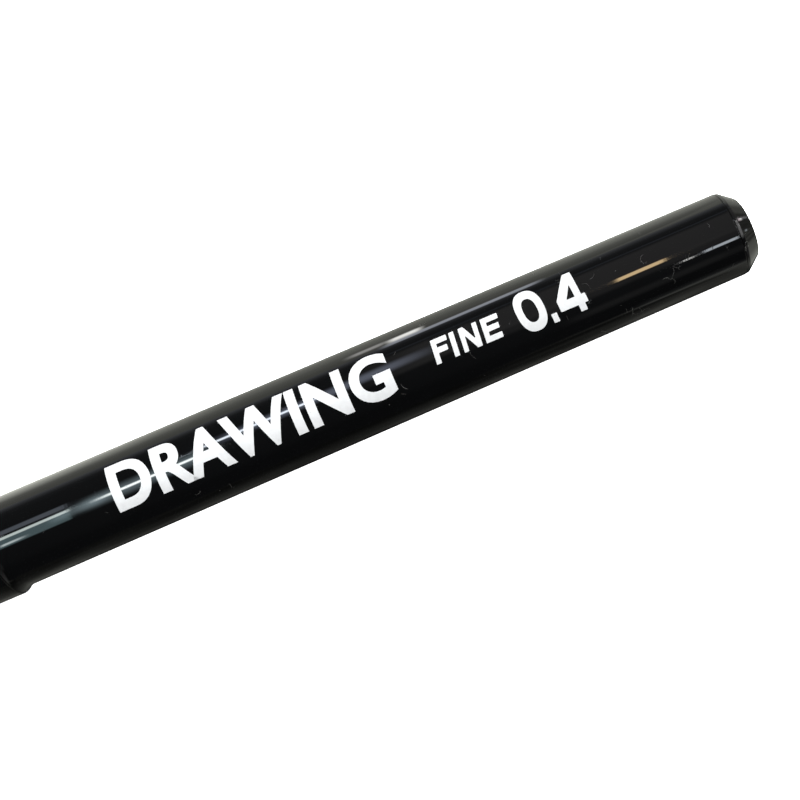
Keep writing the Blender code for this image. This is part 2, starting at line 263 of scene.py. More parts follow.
def maths(tree, operation, first, second=0.0, clamp=False):
    made = add(tree, "Math", {0: first, 1: second}, operation=operation, use_clamp=clamp)
    return made.outputs[0]


def ranged(tree, value, low, high, to_low=0.0, to_high=1.0, smooth=False):
    kind = "SMOOTHSTEP" if smooth else "LINEAR"
    made = add(tree, "MapRange", {"Value": value, "From Min": low, "From Max": high,
                                  "To Min": to_low, "To Max": to_high}, interpolation_type=kind)
    return made.outputs["Result"]


def mixed(tree, factor, first, second):
    """Mix of two colours by a factor."""
    made = tree.nodes.new("ShaderNodeMix")
    made.data_type = "RGBA"
    for socket, value in zip([made.inputs[0], made.inputs[6], made.inputs[7]], [factor, first, second]):
        if isinstance(value, bpy.types.NodeSocket):
            tree.links.new(value, socket)
        else:
            socket.default_value = value
    return made.outputs[2]


def grey(value, tint=(1.0, 1.0, 1.0)):
    return (value * tint[0], value * tint[1], value * tint[2], 1.0)


def new_material(name):
    made = bpy.data.materials.new(name)
    made.use_nodes = True
    tree = made.node_tree
    return made, tree, tree.nodes["Principled BSDF"]


def millimetres(tree, stretch=(1.0, 1.0, 1.0)):
    """Object coordinates in millimetres, stretched per axis."""
    place = add(tree, "TexCoord").outputs["Object"]
    scale = [value / MM for value in stretch]
    return add(tree, "Mapping", {"Vector": place, "Scale": scale}).outputs["Vector"]


def noise(tree, place, scale, detail=2.0):
    made = add(tree, "TexNoise", {"Vector": place, "Scale": scale, "Detail": detail})
    return made.outputs["Fac"]


def scratches(tree, stretch, scale, width, cover):
    """Broken hairlines, 1 on a scratch and 0 elsewhere."""
    cells = add(tree, "TexVoronoi", {"Vector": millimetres(tree, stretch), "Scale": scale},
                feature="DISTANCE_TO_EDGE")
    line = ranged(tree, cells.outputs["Distance"], 0.0, width, 1.0, 0.0)
    patches = noise(tree, millimetres(tree), 0.45)
    kept = ranged(tree, patches, 1.0 - cover, 1.05 - cover)
    return maths(tree, "MULTIPLY", line, kept)


def specks(tree, scale, radius, share):
    """Sparse round dust specks, 1 on a speck and 0 elsewhere."""
    cells = add(tree, "TexVoronoi", {"Vector": millimetres(tree), "Scale": scale})
    dot = ranged(tree, cells.outputs["Distance"], radius * 0.6, radius, 1.0, 0.0)
    chosen = maths(tree, "GREATER_THAN", cells.outputs["Color"], 1.0 - share)
    return maths(tree, "MULTIPLY", dot, chosen)


def lint(tree, width):
    """A few curled hairs, thicker towards the tail, 1 on a hair and 0 elsewhere."""
    place = millimetres(tree)
    curl = add(tree, "TexNoise", {"Vector": place, "Scale": 0.55, "Detail": 0.0}).outputs["Color"]
    bend = add(tree, "VectorMath", {0: curl, 3: 4.5}, operation="SCALE").outputs["Vector"]
    bent = add(tree, "VectorMath", {0: place, 1: bend}, operation="ADD").outputs["Vector"]
    cells = add(tree, "TexVoronoi", {"Vector": bent, "Scale": 0.3}, feature="DISTANCE_TO_EDGE")
    hair = ranged(tree, cells.outputs["Distance"], 0.0, width, 1.0, 0.0)
    along = add(tree, "SeparateXYZ", {"Vector": place}).outputs["X"]
    cover = ranged(tree, along, -45.0, -8.0, 0.70, 0.61)
    patches = noise(tree, place, 0.5, 1.0)
    kept = ranged(tree, maths(tree, "SUBTRACT", patches, cover), 0.0, 0.03)
    return maths(tree, "MULTIPLY", hair, kept)


def set_relief(tree, shader, layers):
    """Add up (height socket, millimetres) layers into one bump."""
    total = 0.0
    for height, size in layers:
        total = maths(tree, "ADD", maths(tree, "MULTIPLY", height, size), total)
    relief = add(tree, "Bump", {"Height": total, "Strength": 1.0, "Distance": MM})
    tree.links.new(relief.outputs["Normal"], shader.inputs["Normal"])


# ---------------------------------------------------------------- finishes


def gloss_plastic(name, colour, roughness, wave, dust_share):
    """Moulded gloss plastic: slow flow waves, uneven polish, hairlines, dulled edges and dust."""
    made, tree, shader = new_material(name)
    flow = noise(tree, millimetres(tree, (0.12, 0.45, 0.45)), 1.0)
    polish = noise(tree, millimetres(tree), 3.5, 5.0)
    haze = noise(tree, millimetres(tree, (0.3, 1.0, 1.0)), 0.35, 3.0)
    along = scratches(tree, (0.12, 1.0, 1.0), 0.55, 0.006, 0.46)
    across = scratches(tree, (0.8, 0.25, 0.3), 0.5, 0.005, 0.40)
    lines = maths(tree, "MAXIMUM", along, across)
    turning = noise(tree, millimetres(tree, (5.0, 0.04, 0.04)), 1.0, 2.0)
    rubbed = maths(tree, "MULTIPLY", turning, ranged(tree, haze, 0.48, 0.62, 0.15, 1.0))
    dust = maths(tree, "MAXIMUM", specks(tree, 0.9, 0.055, dust_share), lint(tree, 0.008))
    worn = ranged(tree, add(tree, "NewGeometry").outputs["Pointiness"], 0.53, 0.62)
    rough = maths(tree, "ADD", ranged(tree, polish, 0.3, 0.7, -0.25 * roughness, 0.35 * roughness),
                  ranged(tree, haze, 0.35, 0.7, roughness, 1.6 * roughness))
    rough = maths(tree, "ADD", rough, maths(tree, "MULTIPLY", worn, 0.12))
    rough = maths(tree, "ADD", rough, maths(tree, "MULTIPLY", lines, 0.10))
    rough = maths(tree, "ADD", rough, maths(tree, "MULTIPLY", dust, 0.5), clamp=True)
    tree.links.new(rough, shader.inputs["Roughness"])
    tone = mixed(tree, haze, grey(0.8, colour), grey(1.25, colour))
    tone = mixed(tree, maths(tree, "MULTIPLY", dust, 0.7), tone, grey(0.10, (1.0, 0.97, 0.92)))
    tree.links.new(tone, shader.inputs["Base Color"])
    shader.inputs["IOR"].default_value = 1.5
    layers = [(flow, wave), (polish, 0.0002), (rubbed, 0.0005), (lines, -0.0006), (dust, 0.02)]
    set_relief(tree, shader, layers)
    return made


def natural_plastic(name):
    """Unpigmented matt plastic with a little light let through."""
    made, tree, shader = new_material(name)
    cloud = noise(tree, millimetres(tree, (0.5, 1.0, 1.0)), 0.8, 3.0)
    grain = noise(tree, millimetres(tree), 12.0, 4.0)
    tone = mixed(tree, cloud, grey(0.30), grey(0.42, (1.0, 0.99, 0.95)))
    tree.links.new(tone, shader.inputs["Base Color"])
    tree.links.new(ranged(tree, grain, 0.3, 0.7, 0.32, 0.5), shader.inputs["Roughness"])
    shader.inputs["Subsurface Weight"].default_value = 0.25
    shader.inputs["Subsurface Radius"].default_value = (0.6 * MM, 0.55 * MM, 0.5 * MM)
    shader.inputs["Subsurface Scale"].default_value = 1.0
    set_relief(tree, shader, [(grain, 0.002)])
    return made


def drawn_steel(name):
    """Drawn stainless tube: fine lines round the tube and slight colour drift."""
    made, tree, shader = new_material(name)
    lines = noise(tree, millimetres(tree, (40.0, 0.6, 0.6)), 1.0, 3.0)
    drift = noise(tree, millimetres(tree), 1.2, 2.0)
    marks = scratches(tree, (0.3, 2.0, 2.0), 1.2, 0.02, 0.5)
    tone = mixed(tree, drift, grey(0.56), grey(0.70, (1.0, 0.985, 0.96)))
    tree.links.new(tone, shader.inputs["Base Color"])
    marked = maths(tree, "MULTIPLY", marks, 0.15)
    rough = maths(tree, "ADD", ranged(tree, lines, 0.3, 0.7, 0.16, 0.30), marked)
    tree.links.new(rough, shader.inputs["Roughness"])
    shader.inputs["Metallic"].default_value = 1.0
    set_relief(tree, shader, [(lines, 0.0012), (marks, -0.001)])
    return made


def bonded_fibre(name, dark, light):
    """Fibre bundle that runs along the pen, soaked in ink."""
    made, tree, shader = new_material(name)
    strands = noise(tree, millimetres(tree, (0.25, 14.0, 14.0)), 1.0, 4.0)
    clumps = noise(tree, millimetres(tree, (0.4, 1.5, 1.5)), 1.0, 2.0)
    tone = mixed(tree, ranged(tree, strands, 0.3, 0.7), grey(dark), grey(light))
    tree.links.new(tone, shader.inputs["Base Color"])
    tree.links.new(ranged(tree, clumps, 0.3, 0.7, 0.55, 0.9), shader.inputs["Roughness"])
    set_relief(tree, shader, [(strands, 0.02)])
    return made


def wrap_film(name):
    """Thin milky film with fine creases along the tube."""
    made, tree, shader = new_material(name)
    creases = noise(tree, millimetres(tree, (0.08, 2.5, 2.5)), 1.0, 4.0)
    tone = mixed(tree, creases, grey(0.5), grey(0.68, (1.0, 1.0, 0.97)))
    tree.links.new(tone, shader.inputs["Base Color"])
    tree.links.new(ranged(tree, creases, 0.3, 0.7, 0.2, 0.4), shader.inputs["Roughness"])
    set_relief(tree, shader, [(creases, 0.03)])
    return made


def white_ink(name):
    """Pad-printed ink: slightly mottled, with pinholes and a soft sheen."""
    made, tree, shader = new_material(name)
    mottle = noise(tree, millimetres(tree), 2.2, 4.0)
    pinholes = ranged(tree, noise(tree, millimetres(tree), 7.0, 3.0), 0.29, 0.25)
    cold_white = (0.97, 0.99, 1.0)
    tone = mixed(tree, ranged(tree, mottle, 0.3, 0.7), grey(0.88, cold_white), grey(0.95, cold_white))
    tone = mixed(tree, maths(tree, "MULTIPLY", pinholes, 0.6), tone, grey(0.12))
    tree.links.new(tone, shader.inputs["Base Color"])
    tree.links.new(ranged(tree, mottle, 0.3, 0.7, 0.3, 0.45), shader.inputs["Roughness"])
    set_relief(tree, shader, [(mottle, 0.002)])
    return made


BLACK = (0.0014, 0.0015, 0.0016)
BARREL_FINISH = gloss_plastic("barrel_gloss", BLACK, 0.028, 0.003, 0.22)
CAP_FINISH = gloss_plastic("cap_gloss", BLACK, 0.035, 0.003, 0.12)
LINER_FINISH = natural_plastic("liner_natural")
STEEL_FINISH = drawn_steel("sleeve_steel")
NIB_FINISH = bonded_fibre("nib_fibre", 0.004, 0.02)
CORE_FINISH = bonded_fibre("core_fibre", 0.01, 0.05)
FILM_FINISH = wrap_film("reservoir_wrap")
INK_FINISH = white_ink("print_white")

# ---------------------------------------------------------------- barrel, tail and nib


def build_barrel():
    """Barrel tube with its flared shoulder, snap neck and stepped bore."""
    section_stop, section_bore_r = SECTION_HIGH.x + FIT, 3.80
    plug_stop, plug_bore_r = PLUG_LOW.x - FIT, 3.47
    # A ring just behind the flare keeps the flare's shading off the straight taper.
    support_x = SHOULDER_X + FLARE_LENGTH + 0.8
    corners = [(SEAM_X, TAIL_R, 0.05), (support_x, barrel_radius(support_x), 0.0)]
    flare_steps = 10
    for step in range(flare_steps):
        t = step / flare_steps
        flare_r = FRONT_R + (SHOULDER_R - FRONT_R) * t * t
        corners.append((SHOULDER_X + FLARE_LENGTH * (1 - t), flare_r, 0.0))
    corners += [(SHOULDER_X, SHOULDER_R, 0.10), (SHOULDER_X, NECK_R, 0.10)]
    corners += ring(SHOULDER_X - 2.2, NECK_R, 0.08, 0.45)
    corners += ring(SNAP_X, NECK_R, 0.12, 0.5)
    corners += [(NECK_END_X, NECK_R, 0.3), (NECK_END_X, section_bore_r, 0.08)]
    corners += [(section_stop, section_bore_r, 0.0), (section_stop, 3.70, 0.0)]
    corners += [(plug_stop, 3.40, 0.0), (plug_stop, plug_bore_r, 0.0), (SEAM_X, plug_bore_r, 0.04)]
    tube = turned(rounded(corners))
    return finish_mesh("barrel_moulding", tube, "pen_body", BARREL_FINISH, ["barrel"])


def build_tail_plug():
    """Tail plug: gate dimple, flat face, chamfer and land up to the seam, hollow spigot in the barrel."""
    spigot_r = 3.42
    cup_r = spigot_r - 0.8
    cup_floor = -1.2
    land_x, land_r = SEAM_X + FIT, 4.25
    dimple_x = -0.12
    corners = [(dimple_x, 0.0, 0.0), (dimple_x, 0.55, 0.06), (0.0, 0.72, 0.08)]
    corners += [(0.0, chamfer_radius(0.0), 0.30)]
    corners += [(x, chamfer_radius(x), 0.0) for x in (-0.25, CHAMFER_X + 0.2)]
    corners += [(CHAMFER_X, CHAMFER_R, 0.20), (land_x, land_r, 0.04), (land_x, spigot_r, 0.05)]
    corners += [(PLUG_LOW.x, spigot_r, 0.2), (PLUG_LOW.x, cup_r, 0.1)]
    corners += [(cup_floor, cup_r, 0.2), (cup_floor, 0.0, 0.0)]
    plug = turned(rounded(corners, closed=False))
    return finish_mesh("tail_plug_moulding", plug, "pen_body", BARREL_FINISH, ["tail_plug"])


def build_nib_section():
    """Front holder: collar, grip grooves, tapered body, sealing land and cone, bored for the sleeve."""
    spigot_r = 3.75
    rear_r, front_r = 3.70, 3.40
    land_r = 3.05
    sleeve_bore_r, wick_bore_r = 0.80, 1.00
    collar_rear = NECK_END_X - FIT
    nose_x = SECTION_LOW.x
    sleeve_stop = nose_x + 4.7
    corners = [(SECTION_HIGH.x, spigot_r, 0.15), (collar_rear, spigot_r, 0.0), (collar_rear, NECK_R, 0.10)]
    corners += [(COLLAR_FRONT_X, NECK_R, 0.22), (COLLAR_FRONT_X, rear_r, 0.12)]
    groove_count = 4
    for index in range(groove_count):
        centre = COLLAR_FRONT_X - 1.5 - 0.9 * index
        share = (COLLAR_FRONT_X - centre) / (COLLAR_FRONT_X - BODY_FRONT_X)
        corners += ring(centre, rear_r + (front_r - rear_r) * share, -0.07, 0.22)
    corners += [(BODY_FRONT_X, front_r, 0.18), (BODY_FRONT_X, land_r, 0.10), (CONE_REAR_X, land_r, 0.15)]
    corners += [(CONE_REAR_X, 2.70, 0.10), (nose_x, 1.25, 0.16), (nose_x, sleeve_bore_r, 0.05)]
    corners += [(sleeve_stop, sleeve_bore_r, 0.0), (sleeve_stop, wick_bore_r, 0.0)]
    corners += [(SECTION_HIGH.x, wick_bore_r, 0.1)]
    holder = turned(rounded(corners))
    return finish_mesh("nib_section_moulding", holder, "pen_body", BARREL_FINISH,
                       ["nib_section"])


def build_tip():
    """Steel sleeve with a crimped nose, and the fibre point inside it."""
    mouth_x = SLEEVE_LOW.x
    sleeve_r = SLEEVE_HIGH.z
    bore_r = 0.30
    corners = [(SLEEVE_HIGH.x, sleeve_r, 0.05)] + ring(mouth_x + 2.1, sleeve_r, -0.06, 0.22)
    corners += [(mouth_x + 1.3, sleeve_r, 0.4), (mouth_x, 0.42, 0.07), (mouth_x, bore_r, 0.02)]
    corners += [(SLEEVE_HIGH.x, bore_r, 0.0)]
    sleeve = turned(rounded(corners), FINE_SIDES)
    finish_mesh("tip_sleeve_tube", sleeve, "pen_body", STEEL_FINISH, ["tip_sleeve"])

    nib_r = NIB_HIGH.z
    tip_x = NIB_LOW.x
    dome = 1.2 * nib_r
    outline = [Vector((NIB_HIGH.x, 0.0)), Vector((NIB_HIGH.x, nib_r)), Vector((tip_x + dome, nib_r))]
    steps = 10
    for step in range(1, steps + 1):
        angle = step / steps * pi / 2
        outline.append(Vector((tip_x + dome * (1 - sin(angle)), nib_r * cos(angle))))
    finish_mesh("nib_point", turned(outline, FINE_SIDES), "pen_body", NIB_FINISH, ["nib"])


# ---------------------------------------------------------------- cap and clip


def build_cap_shell():
    """Cap tube: rounded rim, slight draft towards the crown, stepped bore."""
    rim_x = SHELL_HIGH.x
    end_x = SHELL_LOW.x
    crown_stop = CROWN_HIGH.x + FIT
    liner_stop = LINER_FLANGE_X - FIT
    narrow_r = 4.35
    corners = [(rim_x, CAP_BORE_R, 0.12)] + elliptic((rim_x, SHOULDER_R), (rim_x - 0.25, CAP_R))
    corners += [(end_x, CROWN_HIGH.z, 0.09), (end_x, CAP_BORE_R, 0.05)]
    corners += [(crown_stop, CAP_BORE_R, 0.0), (crown_stop, narrow_r, 0.0), (liner_stop, narrow_r, 0.0)]
    corners += [(liner_stop, CAP_BORE_R, 0.0)] + ring(SNAP_X, CAP_BORE_R, 0.12, -0.5)
    shell = turned(rounded(corners))
    return finish_mesh("cap_moulding", shell, "cap", CAP_FINISH, ["cap_shell"])


def build_cap_liner():
    """Inner cap: flanged cup that closes round the sealing land."""
    mouth_x = LINER_HIGH.x
    seal_x = BODY_FRONT_X - 0.1
    seal_r = 3.10
    floor_x = LINER_LOW.x + 1.2
    corners = [(floor_x, 0.0, 0.0), (floor_x, 1.4, 0.5), (CONE_REAR_X, seal_r, 0.3), (seal_x, seal_r, 0.12)]
    corners += [(seal_x, 3.50, 0.2), (mouth_x, 3.80, 0.15), (mouth_x, LINER_HIGH.z, 0.15)]
    corners += [(LINER_FLANGE_X, LINER_HIGH.z, 0.1), (LINER_FLANGE_X, 4.20, 0.1), (CONE_REAR_X, 3.85, 0.8)]
    corners += [(LINER_LOW.x, 2.15, 0.6), (LINER_LOW.x, 0.0, 0.0)]
    cup = turned(rounded(corners, closed=False))
    return finish_mesh("cap_liner_cup", cup, "cap_core", LINER_FINISH, ["cap_liner"])


def build_cap_crown():
    """End plug of the cap: recessed ring on its face, rounded edge and three air vents."""
    face_x = CROWN_LOW.x
    groove_x = face_x + 0.12
    crown_r = CROWN_HIGH.z
    edge = 0.7
    flange_x = SHELL_LOW.x - FIT
    spigot_r, spigot_bore_r = CAP_BORE_R - FIT, 3.60
    plate_back = face_x + 1.4
    corners = [(face_x, 0.0, 0.0), (face_x, 3.55, 0.06), (groove_x, 3.62, 0.03)]
    corners += [(groove_x, 3.85, 0.03), (face_x, 3.92, 0.06)]
    corners += elliptic((face_x, crown_r - edge), (face_x + edge, crown_r))
    corners += [(flange_x, crown_r, 0.08), (flange_x, spigot_r, 0.0), (CROWN_HIGH.x, spigot_r, 0.2)]
    corners += [(CROWN_HIGH.x, spigot_bore_r, 0.1), (plate_back, spigot_bore_r, 0.2), (plate_back, 0.0, 0.0)]
    vents = []
    vent_count = 3
    vent_r, vent_mouth_r, vent_ring_r = 0.5, 0.62, 2.4
    for index in range(vent_count):
        angle = (index + 0.5) * 2 * pi / vent_count
        vent = turned([(face_x - 1.0, 0.0), (face_x - 1.0, vent_mouth_r), (face_x, vent_mouth_r),
                       (face_x + 0.12, vent_r), (plate_back + 1.0, vent_r), (plate_back + 1.0, 0.0)], 32)
        offset = Vector((0.0, vent_ring_r * cos(angle), vent_ring_r * sin(angle))) * MM
        bmesh.ops.translate(vent, verts=vent.verts, vec=offset)
        vents.append(vent)
    crown = carved(turned(rounded(corners, closed=False)), vents)
    return finish_mesh("cap_crown_moulding", crown, "cap", CAP_FINISH, ["cap_crown"])


def smooth_step(low, high, value):
    t = min(max((value - low) / (high - low), 0.0), 1.0)
    return t * t * (3 - 2 * t)


def clip_section(x):
    """Half width, inner radius and outer radius of the clip at a station."""
    root_x, free_x = SHELL_LOW.x, CLIP_HIGH.x
    share = (x - root_x) / (free_x - root_x)
    half_width = 2.1 - 0.38 * share
    outer = CLIP_OUTER_R - 0.35 * share * share
    inner = 4.95 + (6.42 - 4.95) * smooth_step(CLIP_PIVOT.x - 0.2, CLIP_PIVOT.x + 1.9, x)
    inner -= 0.25 * smooth_step(CLIP_PIVOT.x + 4.0, free_x - 6.0, x)
    inner -= 0.72 * smooth_step(free_x - 4.4, free_x - 2.6, x)
    from_root = min((x - root_x) / 1.1, 1.0)
    outer -= 1.2 * (1 - (1 - (1 - from_root) ** 2) ** 0.5)
    from_end = min((free_x - x) / 1.3, 1.0)
    roundness = (1 - (1 - from_end) ** 2) ** 0.5
    half_width *= 0.45 + 0.55 * roundness
    middle = 0.62 * inner + 0.38 * outer
    outer = middle + (outer - middle) * max(roundness, 0.05)
    inner = middle + (inner - middle) * max(roundness, 0.25)
    return half_width, inner, outer


def build_clip():
    """Clip lofted from rounded sections, from its root on the cap to the pad at its free end."""
    root_x, free_x = SHELL_LOW.x, CLIP_HIGH.x
    stations = 150
    points = 40
    power = 0.36
    result = bmesh.new()
    rings = []
    for step in range(stations + 1):
        t = step / stations
        eased = 0.5 - 0.5 * cos(pi * t)
        x = root_x + (free_x - root_x) * (0.35 * t + 0.65 * eased)
        half_width, inner, outer = clip_section(x)
        loop = []
        for index in range(points):
            angle = 2 * pi * index / points
            across, up = cos(angle), sin(angle)
            w = half_width * abs(across) ** power * (1 if across > 0 else -1)
            h = (inner + outer) / 2 + (outer - inner) / 2 * abs(up) ** power * (1 if up > 0 else -1)
            y = -h * cos(CLIP_ROLL) - w * sin(CLIP_ROLL)
            z = -h * sin(CLIP_ROLL) + w * cos(CLIP_ROLL)
            loop.append(result.verts.new((x * MM, y * MM, z * MM)))
        rings.append(loop)
    for first, second in zip(rings, rings[1:]):
        for index in range(points):
            after = (index + 1) % points
            result.faces.new([first[index], first[after], second[after], second[index]])
    result.faces.new(rings[0])
    result.faces.new(rings[-1])
    clip = finish_mesh("clip_moulding", result, None, CAP_FINISH, ["clip"])
    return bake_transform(clip)


# ---------------------------------------------------------------- printing


def flat_letters(curve):
    """The filled and extruded curve as a bmesh; the curve is used up."""
    curve.extrude = 1.0
    holder = bpy.data.objects.new("letters", curve)
    bpy.context.scene.collection.objects.link(holder)
    bpy.context.view_layer.update()
    mesh = bpy.data.meshes.new_from_object(holder.evaluated_get(bpy.context.evaluated_depsgraph_get()))
    bpy.data.objects.remove(holder)
    result = bmesh.new()
    result.from_mesh(mesh)
    bmesh.ops.remove_doubles(result, verts=result.verts, dist=1e-5)
    return result


def typed_word(words, weight, width, height):
    """Words in the plain built-in face, scaled to a width and height in millimetres."""
    curve = bpy.data.curves.new("word", "FONT")
    curve.body = words
    curve.offset = weight
    curve.space_character = 1.04
    curve.resolution_u = 8
    flat = flat_letters(curve)
    low = Vector([min(v.co[axis] for v in flat.verts) for axis in range(2)])
    high = Vector([max(v.co[axis] for v in flat.verts) for axis in range(2)])
    for vertex in flat.verts:
        vertex.co.x = (vertex.co.x - low.x) / (high.x - low.x) * width
        vertex.co.y = (vertex.co.y - low.y) / (high.y - low.y) * height
    return flat


def drawn_letters(outlines, slant):
    """Letters from closed outlines in millimetres, leaning by the slant."""
    curve = bpy.data.curves.new("outlines", "CURVE")
    curve.dimensions = "2D"
    curve.fill_mode = "BOTH"
    for outline in outlines:
        spline = curve.splines.new("POLY")
        spline.points.add(len(outline) - 1)
        for point, (x, y) in zip(spline.points, outline):
            point.co = (x + slant * y, y, 0.0, 1.0)
        spline.use_cyclic_u = True
    return flat_letters(curve)


def softened(corners, corner_radius=0.06):
    """Polygon with slightly rounded corners, as ink leaves them."""
    return rounded([(x, y, corner_radius) for x, y in corners])


def oval(left, low, right, high, power):
    """Superellipse that fills a box."""
    steps = 56
    points = []
    for step in range(steps):
        across, up = cos(2 * pi * step / steps), sin(2 * pi * step / steps)
        x = abs(across) ** (2 / power) * (1 if across > 0 else -1)
        y = abs(up) ** (2 / power) * (1 if up > 0 else -1)
        points.append(((left + right + (right - left) * x) / 2, (low + high + (high - low) * y) / 2))
    return points


def grade_outlines():
    """The letters F, I, N and E, as outlines along a common baseline."""
    height, stem, bar = 2.46, 0.50, 0.55
    arm_low = 0.40 * height
    arm_high = arm_low + bar
    top_low = height - bar
    outlines = []

    x = 0.0
    outlines.append([(x, 0), (x + stem, 0), (x + stem, arm_low), (x + 1.50, arm_low), (x + 1.50, arm_high),
                     (x + stem, arm_high), (x + stem, top_low), (x + 1.64, top_low), (x + 1.64, height),
                     (x, height)])
    x = 1.92
    outlines.append([(x, 0), (x + stem, 0), (x + stem, height), (x, height)])
    x, width, thin = 2.92, 1.88, 0.46
    outlines.append([(x, 0), (x + thin, 0), (x + thin, 0.66 * height), (x + width - 1.08 * thin, 0),
                     (x + width, 0), (x + width, height), (x + width - thin, height),
                     (x + width - thin, 0.34 * height), (x + 1.08 * thin, height), (x, height)])
    x, width = 5.22, 1.76
    outlines.append([(x, 0), (x + width, 0), (x + width, bar), (x + stem, bar), (x + stem, arm_low),
                     (x + width - 0.1, arm_low), (x + width - 0.1, arm_high), (x + stem, arm_high),
                     (x + stem, top_low), (x + width, top_low), (x + width, height), (x, height)])
    return [softened(outline) for outline in outlines]


def width_outlines():
    """The line width 0.4, as outlines along a common baseline."""
    height, stem, bar = 4.24, 0.66, 0.90
    outlines = [oval(0.0, -0.04, 2.80, height + 0.04, 2.35), oval(0.71, 0.88, 2.09, height - 0.90, 2.3)]
    x = 3.02
    outlines.append(softened([(x, 0), (x + 0.56, 0), (x + 0.56, 0.92), (x, 0.92)]))
    x = 4.02
    right = x + 2.82
    stem_right = right - 0.38
    foot = stem_right - stem
    bar_low = 0.72
    bar_high = bar_low + bar
    outlines.append(softened([(foot, 0), (stem_right, 0), (stem_right, bar_low), (right, bar_low),
                              (right, bar_high), (stem_right, bar_high), (stem_right, height),
                              (stem_right - 0.78, height), (x, bar_high + 0.20), (x, bar_low),
                              (foot, bar_low)]))
    outlines.append(softened([(x + 0.94, bar_high), (foot, bar_high), (foot, bar_high + 1.36)], 0.04))
    return outlines


def build_print(name, flat, left, baseline):
    """Bend flat letters onto the barrel as a thin closed film of ink."""
    film_half = 0.01
    film_lift = 0.006
    slice_height = 0.2
    low = min(v.co.y for v in flat.verts)
    high = max(v.co.y for v in flat.verts)
    slices = int((high - low) / slice_height)
    for index in range(1, slices):
        level = low + (high - low) * index / slices
        everything = flat.verts[:] + flat.edges[:] + flat.faces[:]
        bmesh.ops.bisect_plane(flat, geom=everything, plane_co=(0, level, 0), plane_no=(0, 1, 0),
                               dist=1e-6)
    middle_r = barrel_radius(left + max(v.co.x for v in flat.verts) / 2)
    for vertex in flat.verts:
        x = left + vertex.co.x
        angle = radians(baseline) + vertex.co.y / middle_r
        r = barrel_radius(x) + film_lift + film_half * vertex.co.z
        vertex.co = Vector((x, r * sin(angle), r * cos(angle))) * MM
    return finish_mesh(name, flat, "pen_body", INK_FINISH)


# ---------------------------------------------------------------- build the pen

build_barrel()
build_tail_plug()
build_nib_section()
build_tip()
build_cap_shell()
build_cap_liner()
build_cap_crown()
build_clip()
build_print("print_title", typed_word("DRAWING", 0.034, 30.0, 4.95), -67.6, -21.0)
build_print("print_grade", drawn_letters(grade_outlines(), 0.09), -33.2, -7.2)
build_print("print_width", drawn_letters(width_outlines(), -0.05), -24.2, -17.5)

for node_name, core_finish in [("reservoir_fibre", CORE_FINISH), ("feed_wick", CORE_FINISH),
                               ("reservoir_film", FILM_FINISH)]:
    for material_slot in frame["nodes"][node_name].material_slots:
        material_slot.material = core_finish

# ---------------------------------------------------------------- camera

CAMERA_PLACE = Vector((-30.97, -2.27, 123.1)) * MM
CAMERA_TILT = radians(3.33)
CAMERA_ROLL = radians(23.16)
CAMERA_LENS = 55.08


def build_camera():
    """Camera above the table, tilted a little about Y and rolled so that the pen rises to the right."""
    data = bpy.data.cameras.new("camera")
    data.lens = CAMERA_LENS
    data.sensor_width = 36.0
    data.clip_start = 0.005
    data.clip_end = 20.0
    camera = bpy.data.objects.new("camera", data)
    turn = Matrix.Rotation(CAMERA_TILT, 4, "Y") @ Matrix.Rotation(-CAMERA_ROLL, 4, "Z")
    camera.matrix_world = Matrix.Translation(CAMERA_PLACE) @ turn
    bpy.context.scene.collection.objects.link(camera)
    bpy.context.scene.camera = camera


build_camera()

# ---------------------------------------------------------------- studio


